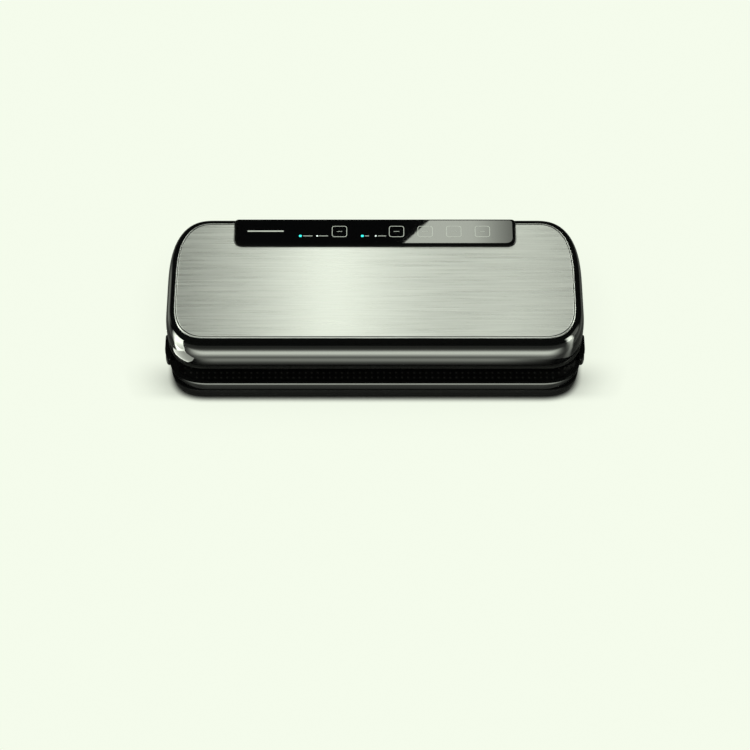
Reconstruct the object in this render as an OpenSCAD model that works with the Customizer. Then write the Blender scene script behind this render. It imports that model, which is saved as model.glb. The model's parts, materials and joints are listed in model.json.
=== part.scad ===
// Countertop vacuum sealer. A shallow base holds the heater bar, the vacuum tray and the pump. A
// hinged lid with a brushed steel plate and a raised touch panel closes on it, and a button at each
// side frees the lid's hook.
// Millimetres. +X is the right side, -Y the front and +Z up. The origin is on the surface that the
// feet stand on, in the middle of the footprint. Heights are counted from that surface.

/* [Lid] */
// Width of the steel top plate
plate_w = 366.8; // [366:0.1:367.6]
// Front edge of the top plate
plate_front = -61.5; // [-61.8:0.1:-61.2]
// Back edge of the top plate
plate_back = 72.5; // [72.2:0.1:72.8]
// Thickness of the top plate
plate_t = 1.2; // [0.8:0.1:1.4]
// Height of the top plate's upper face
plate_z = 63; // [62.9:0.1:63.1]
// How far the glossy shell swells out beyond the plate
bulge = 8; // [7.6:0.1:8.1]
// Height of the groove between the lid's shell and its frame
groove_z = 28.5; // [28.4:0.1:28.6]
// Thickness of the lid frame's flange
frame_t = 3; // [2.9:0.1:3.1]

/* [Base] */
// Width of the base
base_w = 374.4; // [373.6:0.1:375]
// Front edge of the base
base_front = -84; // [-84.2:0.1:-83.8]
// Back wall of the base
base_back = 80; // [79.8:0.1:80.1]
// Height of the deck that the lid closes on
deck_z = 24; // [23.9:0.1:24.1]
// Height of the joint between the bottom cover and the deck
split_z = 13.6; // [13.4:0.1:13.8]
// Height of the rubber feet
foot_h = 3; // [2.8:0.1:3]
// Wall thickness of the two base mouldings
wall = 3; // [2.8:0.1:3.2]
// Spacing of the raised dots on the front ledge
dot_pitch = 5.5; // [5:0.5:6]

/* [Sealing] */
// Length of the heater bar
bar_len = 304; // [296:1:304]
// Width of the heater bar
bar_w = 9; // [8:0.5:9]
// Width of each foam gasket
gasket_w = 4.5; // [3.5:0.5:4.5]
// Depth of the vacuum tray below the deck
tray_depth = 14.5; // [12:0.5:14.5]

/* [Touch panel] */
// Width of the panel's bezel
bezel_w = 262; // [260:1:264]
// Side of a touch mark
mark_w = 14; // [12:1:15]
// Spacing of the right-hand touch marks
mark_pitch = 26.6; // [26:0.1:27]

/* [Hinge and latch] */
// Radius of the hinge pins
pin_r = 2.5; // [2.3:0.1:2.5]
// Running clearance of the hinge pins, the crank pin and the motor shaft
running = 0.05; // [0.02:0.01:0.08]
// Travel of the release buttons
travel = 3; // [2.5:0.1:3]
// Height of the release buttons
button_h = 11.2; // [10:0.1:11.2]

/* [Pump] */
// Radius of the pump motor
motor_r = 13.5; // [12:0.5:13.5]
// Offset of the crank pin, half of the piston's stroke
crank_throw = 2; // [1.5:0.1:2]
// Radius of the piston
piston_r = 9; // [8.5:0.1:9]

/* [Hidden] */
$fn = 48;
eps = 0.5;
corner_steps = 9;
corner_power = 2.6;

// Outlines seen from above: half width, front, back, front corner [x, y], back corner [x, y].
lid_plan = [plate_w / 2, plate_front, plate_back, [31.2, 40.6], [33.6, 62.6]];
base_plan = [base_w / 2, base_front, base_back, [38, 38], [40, 68]];
cover_plan = [base_w / 2, base_front, base_back, [34, 34], [38, 66]];
deck_plan = [base_w / 2 - 3, plate_front - 6.5, base_back - 2, [35, 45], [38, 66]];
bezel_plan = [bezel_w / 2, 43.9, 75.9, [10, 10], [5, 5]];
glass_plan = [bezel_w / 2 - 3, 46.2, 73.8, [8, 8], [3.5, 3.5]];
board_plan = [110, 50.5, 70.5, [2, 2], [2, 2]];
tray_plan = [150, -40, -18, [8, 8], [8, 8]];
ring_plan = [157, -45.5, -12.5, [9, 9], [9, 9]];
housing_plan = [170, -4, 66, [9, 9], [9, 9]];
opening_plan = [156, 0, 62, [6, 6], [6, 6]];
well_plan = [173.5, -8.5, 69.5, [8, 8], [8, 8]];

// Lid heights and the outer profiles, each as [offset beyond the plate's edge, height].
shell_profile = [
    [bulge - 3.6, groove_z], [bulge - 2, groove_z + 0.6], [bulge - 0.8, 32], [bulge, 38],
    [bulge, 46], [bulge - 1, 54], [5, plate_z - 3], [3, plate_z - 1], [2.5, plate_z - 0.7]];
frame_z = groove_z - frame_t;
frame_profile = [[bulge - 1, frame_z], [bulge - 0.5, groove_z - 1], [bulge - 3.6, groove_z]];
bed_z = plate_z - plate_t;
roof_z = plate_z - 4.5;
bezel_z = plate_z - 2.5;
bezel_top = plate_z + 2.3;
glass_z = plate_z + 1.1;
glass_t = 1.4;
board_z = bezel_z + 1.1;
board_t = 1.4;
led_h = 1;
ink_t = 0.06;
lid_wall = 1.9;
waist_wall = 5;

// Base heights and profiles, each as [offset from the base's edge, height].
floor_t = 2;
floor_z = foot_h + floor_t;
rim_z = deck_z - 2;
deck_t = 2.5;
cover_profile = [
    [-2.6, foot_h], [-1.6, foot_h + 0.6], [-0.8, foot_h + 3], [0, split_z - 0.9],
    [-0.9, split_z]];
deck_profile = [[-0.9, split_z], [-0.3, split_z + 0.7], [-0.3, rim_z - 1.2], [-0.5, rim_z - 0.4],
    [-0.9, rim_z], [-1.8, rim_z + 0.12]];

// The front ledge that the bag lies on, with its dotted strip.
ledge_front = base_front + 3.9;
ledge_slope = (deck_z - rim_z - 0.12) / (deck_plan[1] - base_front - 1.8);
strip_back = deck_plan[1] + 3.5;
strip_t = 0.8;
dot_r = 0.95;
dot_h = 0.4;
dot_rows = [[-66.3, 32], [-71.6, 32], [-76.7, 30]];

// Heater bar, its channel and the strip above it.
bar_y = -54;
bar_z = 18;
bar_top = deck_z + 1.4;
wire_t = 0.3;
tape_t = 0.25;
channel_t = 1.5;
slot_gap = 0.4;

// Hinge: axis, ears on the base and knuckles on the lid.
hinge_y = 79.5;
hinge_z = 28.5;
ear_r = base_front * -1 - hinge_y;
ear_x = [[108, 114], [136, 142]];
knuckle_r = 4.2;
knuckle_x = [114.3, 135.7];
hinge_bay = [107, 143];
bay_y = 73.9;
bay_z = 34.5;

// Latch: the hook's prong, and the button whose window it drops through.
hook_x = [171, 174];
hook_y = -41;
hook_half = 4;
hook_tip = 13;
barb = 2.3;
rest_gap = 0.3;
button_y = [-53, -29];
button_z = 12;
button_x = [186.9, 193];
well_x = [181.4, 183.6];
slide_z = [17.5, 20];
slide_y = [-50, -32];
spring_x = [156, 165];
spring_z = 13.5;
spring_r = 2.6;
spring_turns = 5;

// Pump: the motor lies along X, and the piston moves along Y.
motor_y = 28;
motor_z = 25;
motor_x = [-72, -14];
shaft_r = 1.5;
crank_x = [-11, -8];
rod_x = [-7, -2];
bore_x = -4.5;
bore_r = piston_r + crank_throw + 0.3;
bore_y = [42, 57];

// Fasteners, feet and other places, for the right side or the middle. Each is [x, y].
feet_at = [[165, -58], [165, 60]];
base_screws_at = [[130, -70], [130, 70], [0, -70], [0, 70]];
housing_screws_at = [[162, 4.5], [162, 57.5]];
lid_screws_at = [[181, -18], [178.3, 46], [120, -62.6], [0, -62.6], [85, 72.4]];
board_posts_at = [[-156, 8], [-96, 8], [-156, 56], [-96, 56]];
nozzle_x = 60;
nozzle_z = 15;
inlet_x = -75;
inlet_z = 13;
cable_at = [-30, 67.75];
lamps_x = [-69.3, -53.6, -11.7, 0.7];
lamps_y = 54.9;
marks_y = 60.2;
marks_x = [-33, 20, 20 + mark_pitch, 20 + 2 * mark_pitch, 20 + 3 * mark_pitch];

// Routes of the wires and tubes that lie inside the housings.
heater_lead = [[-150, 4.3, 14], [-152, -8, 10], [-151.7, -20, 8], [-151.7, -44, 7.4], [-150, -53, 10],
    [-150, -54, 16.5]];
return_lead = [[-140, 4.3, 14], [-140, -10, 8], [-140, -40, 7], [-138, -58, 7.5], [-130, -63, 8],
    [130, -63, 8], [146, -60, 9], [150, -54, 12], [150, -54, 16.5]];
inlet_lead = [[-75, 65, 13], [-79, 58, 15], [-86, 52, 16], [-95.5, 51, 16]];
coil_lead = [[-92, 10, 13], [-84, 0, 10], [-70, -5, 9], [60, -5, 9], [88, -4, 10], [100, 0, 14],
    [109, 5, 19.5]];
motor_lead = [[-95.5, 33, 16], [-88, 31, 20], [-80, 29, 24], [-75.5, 28, 25]];
panel_cable = [[-92, 40, 14], [-80, 48, 14], [-60, 57, 14], [-40, 64, 14.5], [-31, 67.4, 18],
    [-30, 67.75, 24], [-30, 67.75, 34], [-30.5, 67.4, 44], [-34, 65.5, 51], [-44, 62.5, 54.5],
    [-54, 60, 57], [-56, 60, 61.2]];
tray_tube = [[60, -8, 15], [60, 2, 15], [60, 14, 15]];
pump_tube = [[17, 59, 25], [23, 58, 25], [28, 50, 24], [32, 34, 18], [40, 23, 15], [50, 21, 15]];

// ---- Outlines, lofts and sweeps ----

function curved(v) = sign(v) * pow(abs(v), 2 / corner_power);

// A quarter of a superellipse about centre c, with half axes r, from angle a on.
function quarter(c, r, a) = [
    for (i = [0 : corner_steps])
        let (t = a + 90 * i / corner_steps)
        [c[0] + r[0] * curved(cos(t)), c[1] + r[1] * curved(sin(t))]];

// The closed outline of plan o, moved outwards by t.
function outline(o, t = 0) =
    let (w = o[0] + t, f = o[1] - t, b = o[2] + t, rf = o[3] + [t, t], rb = o[4] + [t, t])
    concat(
        quarter([w - rf[0], f + rf[1]], rf, -90),
        quarter([w - rb[0], b - rb[1]], rb, 0),
        quarter([rb[0] - w, b - rb[1]], rb, 90),
        quarter([rf[0] - w, f + rf[1]], rf, 180));

function at_height(points, z) = [for (p = points) [p[0], p[1], z]];

function rings_of(o, profile) = [for (s = profile) at_height(outline(o, s[0]), s[1])];

// A closed skin over rings of equally many points, each ring counter-clockwise along the way.
module loft(rings) {
    n = len(rings[0]);
    top = (len(rings) - 1) * n;
    sides = [
        for (k = [0 : len(rings) - 2], i = [0 : n - 1])
            let (a = k * n + i, b = k * n + (i + 1) % n)
            each [[a, a + n, b + n], [a, b + n, b]]];
    floor_face = [for (i = [0 : n - 1]) i];
    top_face = [for (i = [n - 1 : -1 : 0]) top + i];
    polyhedron([for (r = rings) for (p = r) p], concat(sides, [floor_face, top_face]));
}

function unit(v) = v / norm(v);

// A point of the smooth curve through points p, between the points i and i + 1.
function between(p, i, t) =
    let (a = p[max(i - 1, 0)], b = p[i], c = p[i + 1], d = p[min(i + 2, len(p) - 1)])
    0.5 * (2 * b + (c - a) * t + (2 * a - 5 * b + 4 * c - d) * t * t
        + (3 * b - 3 * c + d - a) * t * t * t);

function smooth(p, n) = concat(
    [for (i = [0 : len(p) - 2], k = [0 : n - 1]) between(p, i, k / n)], [p[len(p) - 1]]);

// A round tube of radius r along a path. No stretch of the path may run along side.
module sweep(path, r, sides = 8, side = [1, 3, 2]) {
    last = len(path) - 1;
    loft([
        for (i = [0 : last])
            let (t = unit(path[min(i + 1, last)] - path[max(i - 1, 0)]),
                u = unit(cross(t, side)), v = cross(t, u))
            [for (k = [0 : sides - 1])
                path[i] + r * (cos(360 * k / sides) * u + sin(360 * k / sides) * v)]]);
}

// ---- Plain solids ----

// A prism of plan o moved outwards by t, between two heights.
module slab(o, t, z0, z1) {
    translate([0, 0, z0]) linear_extrude(z1 - z0) polygon(outline(o, t));
}

// A box between two corners.
module box(low, high) {
    translate(low) cube(high - low);
}

module rod_along_x(x0, x1, y, z, r) {
    translate([x0, y, z]) rotate([0, 90, 0]) cylinder(h = x1 - x0, r = r);
}

module rod_along_y(y0, y1, x, z, r) {
    translate([x, y1, z]) rotate([90, 0, 0]) cylinder(h = y1 - y0, r = r);
}

module post(at, z0, z1, r) {
    translate([at[0], at[1], z0]) cylinder(h = z1 - z0, r = r);
}

// The child and its mirror image on the left side.
module both_sides() {
    children();
    mirror([1, 0, 0]) children();
}

// The child at each place on the right side, and mirrored where the place is off the middle.
module at_places(places) {
    for (p = places) {
        translate([p[0], p[1], 0]) children();
        if (p[0] > 0) translate([-p[0], p[1], 0]) children();
    }
}

// A countersunk or pan screw that points up: its head starts at z, its tip is length higher.
module screw(z, head_r, head_h, shank_r, length) {
    translate([0, 0, z]) cylinder(h = head_h, r = head_r);
    translate([0, 0, z + head_h]) cylinder(h = length - head_h, r = shank_r);
}

// ---- Base ----

// The hollows at each side that the release buttons move in.
module button_wells() {
    both_sides()
        box([well_x[1], button_y[0] - slot_gap, button_z - slot_gap],
            [base_w, button_y[1] + slot_gap, deck_z + eps]);
}

module inlet_hollow(z0, z1) {
    box([inlet_x - 12.2, 74, z0], [inlet_x + 12.2, base_back + 5, z1]);
}

module bottom_cover() {
    color("#15171a") difference() {
        union() {
            difference() {
                loft(rings_of(cover_plan, cover_profile));
                slab(base_plan, -wall - 1.2, floor_z, split_z + eps);
            }
            at_places(base_screws_at)
                translate([0, 0, floor_z - eps]) cylinder(h = split_z - floor_z + eps, r = 4.5);
            for (p = board_posts_at) post(p, floor_z - eps, 9, 3);
            both_sides()
                box([well_x[0], button_y[0] - 3, floor_z - eps],
                    [base_w / 2 - 2, button_y[1] + 3, split_z]);
            both_sides()
                box([spring_x[0] - 2.5, hook_y - 5, floor_z - eps], [spring_x[0], hook_y + 5, 17]);
        }
        button_wells();
        inlet_hollow(inlet_z - 7.2, split_z + eps);
        at_places(base_screws_at) {
            cylinder(h = split_z + eps, r = 1.7);
            cylinder(h = foot_h + 3, r = 3.4);
        }
        at_places(feet_at) cylinder(h = floor_z + eps, r = 2.9);
        for (x = [-48 : 6 : -18], y = [18]) box([x, y, 0], [x + 2.4, y + 22, floor_z + eps]);
        for (x = [100 : 6 : 136]) box([x, 20, 0], [x + 2.4, 46, floor_z + eps]);
    }
}

function ledge_height(y) = min(deck_z, rim_z + 0.12 + ledge_slope * (y - base_front - 1.8));

// The strip's section along X. lift raises its top, and grow widens it.
module strip_bar(grow, lift) {
    ys = [ledge_front - grow, deck_plan[1], strip_back + grow];
    top = [for (y = ys) [y, ledge_height(y) + lift]];
    under = [for (i = [2 : -1 : 0]) [ys[i], ledge_height(ys[i]) - strip_t]];
    intersection() {
        translate([-base_w / 2, 0, 0]) rotate([90, 0, 90]) linear_extrude(base_w)
            polygon(concat(top, under));
        slab(base_plan, grow - 3.9, rim_z - 2, deck_z + 2);
    }
}

module grip_strip() {
    color("#1b1d20") {
        strip_bar(0, 0);
        for (row = dot_rows, i = [0 : row[1] - 1], s = [-1, 1])
            post([s * dot_pitch * (i + 0.5), row[0]], ledge_height(row[0]) - 0.4,
                ledge_height(row[0]) + dot_h, dot_r, $fn = 16);
    }
}

module hinge_ears() {
    both_sides() {
        for (x = ear_x) {
            rod_along_x(x[0], x[1], hinge_y, hinge_z, ear_r);
            box([x[0], hinge_y - ear_r, deck_z - 6], [x[1], hinge_y + ear_r, hinge_z]);
        }
        box([ear_x[0][0] - 2, base_back - 4, split_z + 1],
            [ear_x[1][1] + 2, hinge_y + ear_r, deck_z - 0.1]);
    }
}

module base_deck() {
    channel = [bar_len / 2 + slot_gap, bar_w / 2 + slot_gap];
    color("#111315") difference() {
        union() {
            difference() {
                loft(concat(rings_of(base_plan, deck_profile), rings_of(deck_plan, [[0, deck_z]])));
                slab(base_plan, -wall - 0.6, split_z - eps, rim_z - 2.2);
                slab(deck_plan, -wall, rim_z - 3, deck_z - deck_t);
            }
            at_places(base_screws_at)
                translate([0, 0, split_z]) cylinder(h = deck_z - deck_t + eps - split_z, r = 4);
            both_sides()
                box([well_x[0], button_y[0] - 3, split_z],
                    [base_w / 2 - 2, button_y[1] + 3, deck_z - deck_t + eps]);
            box([-channel[0] - channel_t, bar_y - channel[1] - channel_t, bar_z - channel_t],
                [channel[0] + channel_t, bar_y + channel[1] + channel_t, deck_z - deck_t + eps]);
            hinge_ears();
        }
        // The heater bar's channel, the tray's seat and well, and the pump's opening
        box([-channel[0], bar_y - channel[1], bar_z], [channel[0], bar_y + channel[1], deck_z + 1]);
        slab(ring_plan, 2.2, deck_z - 1.5, deck_z + 1);
        slab(tray_plan, 0.3, split_z, deck_z + 1);
        slab(opening_plan, 0, deck_z - 5, deck_z + 1);
        // The dotted strip's recess
        strip_bar(0.15, 3);
        // The button's well and stem, and the slot that the hook's prong drops through
        button_wells();
        both_sides() {
            box([well_x[0] - 8, slide_y[0] - slot_gap, slide_z[0] - slot_gap],
                [well_x[1] + 1, slide_y[1] + slot_gap, slide_z[1] + slot_gap]);
            box([hook_x[0] - barb - 0.8, hook_y - hook_half - 2.4, deck_z - deck_t - eps],
                [hook_x[1] + 0.9, hook_y + hook_half + 2.4, deck_z + 1]);
        }
        // Bores and holes
        both_sides() rod_along_x(ear_x[0][0] - 3, ear_x[1][1] + 3, hinge_y, hinge_z, pin_r);
        at_places(base_screws_at) cylinder(h = rim_z - 3.5, r = 1.35);
        at_places(housing_screws_at) cylinder(h = deck_z + 1, r = 1.6);
        translate(cable_at) cylinder(h = deck_z + 1, r = 1.7);
        inlet_hollow(split_z - 1, inlet_z + 7.2);
        both_sides() post([bar_len / 2 - 2, bar_y], bar_z - 3, bar_z + 1, 1.2);
    }
}

module rubber_feet() {
    color("#1a1a1a") at_places(feet_at) rotate_extrude()
        polygon([[0, 0], [7.6, 0], [8.4, 0.8], [8.4, foot_h], [2.8, foot_h], [2.8, floor_z],
            [3.6, floor_z], [2.6, floor_z + 1.6], [0, floor_z + 1.6]]);
}

module base_screws() {
    color("silver") at_places(base_screws_at) screw(foot_h + 0.8, 3, 2.2, 1.3, 13.5);
}

module vacuum_tray() {
    color("#0e0f10") difference() {
        union() {
            slab(ring_plan, 2, deck_z - 1.5, deck_z);
            slab(tray_plan, 0, deck_z - tray_depth, deck_z - 1);
        }
        slab(tray_plan, -1.6, deck_z - tray_depth + 1.5, deck_z + 1);
        rod_along_y(tray_plan[2] - 3, tray_plan[2] + 1, nozzle_x, nozzle_z, 3.05);
    }
}

// One foam ring around the tray, between two heights.
module gasket(z0, z1) {
    color("#2b2c2e") difference() {
        slab(ring_plan, 0, z0, z1);
        slab(ring_plan, -gasket_w, z0 - 1, z1 + 1);
    }
}

module lower_gasket() {
    gasket(deck_z, deck_z + 2.3);
}

module heater_bar() {
    color("#c8b9a0") difference() {
        box([-bar_len / 2, bar_y - bar_w / 2, bar_z], [bar_len / 2, bar_y + bar_w / 2, bar_top]);
        both_sides() post([bar_len / 2 - 2, bar_y], bar_z - 1, bar_top + 1, 1);
    }
}

module heating_wire() {
    color("#b0a89c") {
        box([-bar_len / 2 + 0.5, bar_y - 1.3, bar_top],
            [bar_len / 2 - 0.5, bar_y + 1.3, bar_top + wire_t]);
        both_sides() post([bar_len / 2 - 2, bar_y], bar_z, bar_top, 0.9);
    }
}

module ptfe_tape() {
    color("#b98d58") difference() {
        box([-bar_len / 2, bar_y - bar_w / 2, bar_top],
            [bar_len / 2, bar_y + bar_w / 2, bar_top + wire_t + tape_t]);
        box([-bar_len / 2 - 1, bar_y - 1.5, bar_top - 1],
            [bar_len / 2 + 1, bar_y + 1.5, bar_top + wire_t]);
    }
}

module pump_housing() {
    top = deck_z + 22;
    color("#17191b") difference() {
        union() {
            difference() {
                loft(rings_of(housing_plan, [[0, deck_z], [-0.8, top - 3], [-3.5, top]]));
                slab(housing_plan, -3.4, deck_z - 1, top - 2.5);
            }
            at_places(housing_screws_at)
                translate([0, 0, deck_z]) cylinder(h = top - 2 - deck_z, r = 4);
        }
        at_places(housing_screws_at) cylinder(h = deck_z + 14, r = 1.35);
    }
}

module housing_screws() {
    color("silver") at_places(housing_screws_at) screw(deck_z - deck_t - 1.8, 2.8, 1.8, 1.3, 14);
}

module hinge_pins() {
    color("silver") both_sides()
        rod_along_x(ear_x[0][0], ear_x[1][1], hinge_y, hinge_z, pin_r);
}

// ---- Release buttons ----

// The button's outer face, seen from the side: its lower front corner is cut off.
module button_face(inset) {
    y0 = button_y[0] + inset;
    y1 = button_y[1] - inset;
    z0 = button_z + inset;
    z1 = button_z + button_h - inset;
    polygon([[y0, z0 + 4], [y0 + 4, z0], [y1 - 1.5, z0], [y1, z0 + 1.5], [y1, z1 - 1.5],
        [y1 - 1.5, z1], [y0 + 1.5, z1], [y0, z1 - 1.5]]);
}

module button_plate(x, t, inset) {
    translate([x, 0, 0]) rotate([90, 0, 90]) linear_extrude(t) button_face(inset);
}

module release_button() {
    window = [hook_x[0] - barb - rest_gap, hook_x[1] + travel + 0.5];
    color("#141618") {
        hull() {
            button_plate(button_x[0], button_x[1] - button_x[0] - 1, 0);
            button_plate(button_x[1] - 0.2, 0.2, 1);
        }
        difference() {
            box([spring_x[1], slide_y[0], slide_z[0]], [button_x[0] + eps, slide_y[1], slide_z[1]]);
            box([window[0], hook_y - hook_half - 2.5, slide_z[0] - 1],
                [window[1], hook_y + hook_half + 2.5, slide_z[1] + 1]);
        }
        // The stop inside the well's wall, and the tab that the spring pushes on
        box([well_x[0] - 1.6, slide_y[0] - 1.5, slide_z[0] - 2],
            [well_x[0] - 0.2, slide_y[1] + 1.5, slide_z[1] - 0.6]);
        box([spring_x[1], hook_y - 4, spring_z - 3.5], [spring_x[1] + 2, hook_y + 4, slide_z[0]]);
    }
}

module release_button_left() {
    mirror([1, 0, 0]) release_button();
}

module release_button_right() {
    release_button();
}

// A coil spring between the base's wall and the button's tab.
module button_spring() {
    wire_r = 0.35;
    steps = spring_turns * 10;
    length = spring_x[1] - spring_x[0] - 2 * wire_r - 0.1;
    helix = [for (i = [0 : steps])
        let (a = 360 * spring_turns * i / steps)
        [spring_x[0] + wire_r + 0.05 + length * i / steps,
            hook_y + spring_r * cos(a), spring_z + spring_r * sin(a)]];
    color("silver") sweep(helix, wire_r, 6, [1, 0, 0]);
}

module button_spring_left() {
    mirror([1, 0, 0]) button_spring();
}

module button_spring_right() {
    button_spring();
}

// ---- Pump and air path ----

module pump_motor() {
    color("#8d9094") difference() {
        union() {
            rod_along_x(motor_x[0], motor_x[1], motor_y, motor_z, motor_r);
            rod_along_x(motor_x[0] - 3, motor_x[0], motor_y, motor_z, 8);
        }
        rod_along_x(motor_x[1] - 13, motor_x[1] + 1, motor_y, motor_z, shaft_r + running);
    }
}

module pump_bracket() {
    color("#b4b6b8") difference() {
        union() {
            box([motor_x[1] - 10, 10, floor_z], [14, 60, floor_z + 2]);
            box([motor_x[1], 12, floor_z + 2], [motor_x[1] + 2.5, bore_y[0] - 0.1, motor_z + 15]);
            box([bore_x - 11, bore_y[0] + 1, floor_z + 2], [bore_x + 11, bore_y[1] - 1, 11.5]);
        }
        rod_along_x(motor_x[1] - 1, motor_x[1] + 3, motor_y, motor_z, 4.2);
    }
}

module pump_crank() {
    color("silver") {
        rod_along_x(motor_x[1] - 12, crank_x[1], motor_y, motor_z, shaft_r);
        rod_along_x(crank_x[0], crank_x[1], motor_y, motor_z, 7);
        rod_along_x(crank_x[1], rod_x[1] + 0.5, motor_y + crank_throw, motor_z, shaft_r);
    }
}

module pump_rod() {
    pin_y = motor_y + crank_throw;
    color("#e6e2d6") difference() {
        union() {
            rod_along_x(rod_x[0], rod_x[1], pin_y, motor_z, 4.5);
            box([rod_x[0] + 0.5, pin_y + 2, motor_z - 3], [rod_x[1] - 0.5, pin_y + 17, motor_z + 3]);
            rod_along_y(pin_y + 16, pin_y + 19, bore_x, motor_z, piston_r - 0.6);
        }
        rod_along_x(rod_x[0] - 1, rod_x[1] + 1, pin_y, motor_z, shaft_r + running);
    }
}

module piston_cup() {
    back = motor_y + crank_throw + 19;
    color("#2a2a2a") difference() {
        rod_along_y(back, back + 2.4, bore_x, motor_z, piston_r);
        rod_along_y(back + 1, back + 3, bore_x, motor_z, piston_r - 1.2);
    }
}

// The four corners of the pump's cap, as [x, z].
cap_corners = [for (s = [-1, 1], t = [-1, 1]) [bore_x + s * 10.7, motor_z + t * 10.7]];

module pump_cylinder() {
    color("#d8d4c8") difference() {
        box([bore_x - 13.5, bore_y[0], 11.5], [bore_x + 13.5, bore_y[1], 38.5]);
        rod_along_y(bore_y[0] - 1, bore_y[1] + 1, bore_x, motor_z, bore_r);
        for (c = cap_corners) rod_along_y(bore_y[1] - 9, bore_y[1] + 1, c[0], c[1], 1.05);
    }
}

module pump_cap() {
    color("#c9c5ba") difference() {
        union() {
            box([bore_x - 13.5, bore_y[1], 11.5], [bore_x + 13.5, bore_y[1] + 4, 38.5]);
            rod_along_x(bore_x + 13, 17, bore_y[1] + 2, motor_z, 1.9);
        }
        for (c = cap_corners) rod_along_y(bore_y[1] - 1, bore_y[1] + 5, c[0], c[1], 1.05);
    }
}

module pump_screws() {
    color("silver") for (c = cap_corners) {
        rod_along_y(bore_y[1] - 8, bore_y[1] + 4, c[0], c[1], 1);
        rod_along_y(bore_y[1] + 4, bore_y[1] + 5.4, c[0], c[1], 1.9);
    }
}

module solenoid_valve() {
    color("#3d4a58") {
        box([50, 14, floor_z], [70, 28, 19]);
        box([52, 16, 19], [68, 26, 30]);
        translate([60, 21, 30]) cylinder(h = 3, r = 3.5);
    }
}

module air_nozzle() {
    wall_y = tray_plan[2] - 1.6;
    color("#d8d8d4") difference() {
        union() {
            rod_along_y(wall_y - 1.4, wall_y, nozzle_x, nozzle_z, 3.8);
            rod_along_y(wall_y, -8, nozzle_x, nozzle_z, 3);
            rod_along_y(tray_plan[2] + 0.1, tray_plan[2] + 2.5, nozzle_x, nozzle_z, 5);
        }
        rod_along_y(wall_y - 2, -7, nozzle_x, nozzle_z, 1.4);
    }
}

module air_tubes() {
    color("#dfe3e2") {
        sweep(smooth(tray_tube, 2), 2.6, 12);
        sweep(smooth(pump_tube, 5), 2.6, 12);
    }
}

// ---- Electrics ----

// An iron core with a window at each side of its middle leg.
module transformer_core() {
    color("#5b5f63") difference() {
        box([95, 12, floor_z], [143, 52, 37]);
        for (x = [103, 127]) box([x, 11, 13], [x + 8, 53, 29]);
    }
}

module transformer_coil() {
    color("#a8642c") difference() {
        box([103.3, 6, 13.3], [134.7, 58, 28.7]);
        box([110.9, 11.9, 12], [127.1, 52.1, 30]);
    }
}

module power_board() {
    color("#1f5b34") difference() {
        box([-160, 4, 9], [-92, 60, 10.6]);
        for (p = board_posts_at) post(p, 8, 12, 1.2);
    }
}

module board_components() {
    z = 10.6;
    color("#2c2f33") {
        box([-155.5, 12.5, z], [-137, 29, z + 16]);
        box([-156, 5, z], [-132, 12, z + 7]);
        box([-104, 44, z], [-96, 53, z + 10]);
        box([-104, 28, z], [-96, 38, z + 9]);
        box([-122, 10, z], [-106, 22, z + 13]);
        for (x = [-147, -133, -119]) post([x, 42], z, z + 22, 6);
        for (x = [-128 : 5 : -108]) box([x, 27, z], [x + 1.6, 33, z + 4]);
        for (x = [-150 : 4 : -110]) box([x, 52, z], [x + 2, 54.5, z + 1.5]);
    }
}

module lid_sensor() {
    under = deck_z - deck_t;
    color("#24543a") {
        box([173, 8, under - 1.4], [180.8, 22, under]);
        rod_along_y(10, 20, 177, under - 2.6, 1.2);
    }
}

module mains_inlet() {
    face = base_back + 1.5;
    color("#101112") difference() {
        union() {
            box([inlet_x - 12, 66, inlet_z - 7], [inlet_x + 12, base_back, inlet_z + 7]);
            box([inlet_x - 13, base_back, inlet_z - 7.6], [inlet_x + 13, face, inlet_z + 7.6]);
        }
        box([inlet_x - 4.3, face - 11, inlet_z - 3.8], [inlet_x + 4.3, face + 1, inlet_z + 3.8]);
        for (s = [-1, 1]) rod_along_y(face - 11, face + 1, inlet_x + s * 4.3, inlet_z, 3.8);
        for (s = [-1, 1]) rod_along_y(65, face - 10, inlet_x + s * 4.3, inlet_z, 1.2);
    }
}

module inlet_pins() {
    color("silver") for (s = [-1, 1])
        rod_along_y(66, base_back - 1.5, inlet_x + s * 4.3, inlet_z, 1.2);
}

module wiring() {
    color("#7a1f1f") {
        for (route = [heater_lead, inlet_lead, motor_lead]) sweep(smooth(route, 4), 0.9, 6);
        sweep(smooth(return_lead, 3), 0.9, 6);
        sweep(smooth(coil_lead, 3), 0.9, 6);
    }
}

module panel_lead() {
    color("#1d1d1f") sweep(smooth(panel_cable, 4), 1.2, 8);
}

// ---- Lid ----

// The bays at the back of the lid that the base's hinge ears stand in.
module hinge_bays(z0, z1) {
    both_sides() box([hinge_bay[0], bay_y, z0], [hinge_bay[1], hinge_y + 10, z1]);
}

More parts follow.
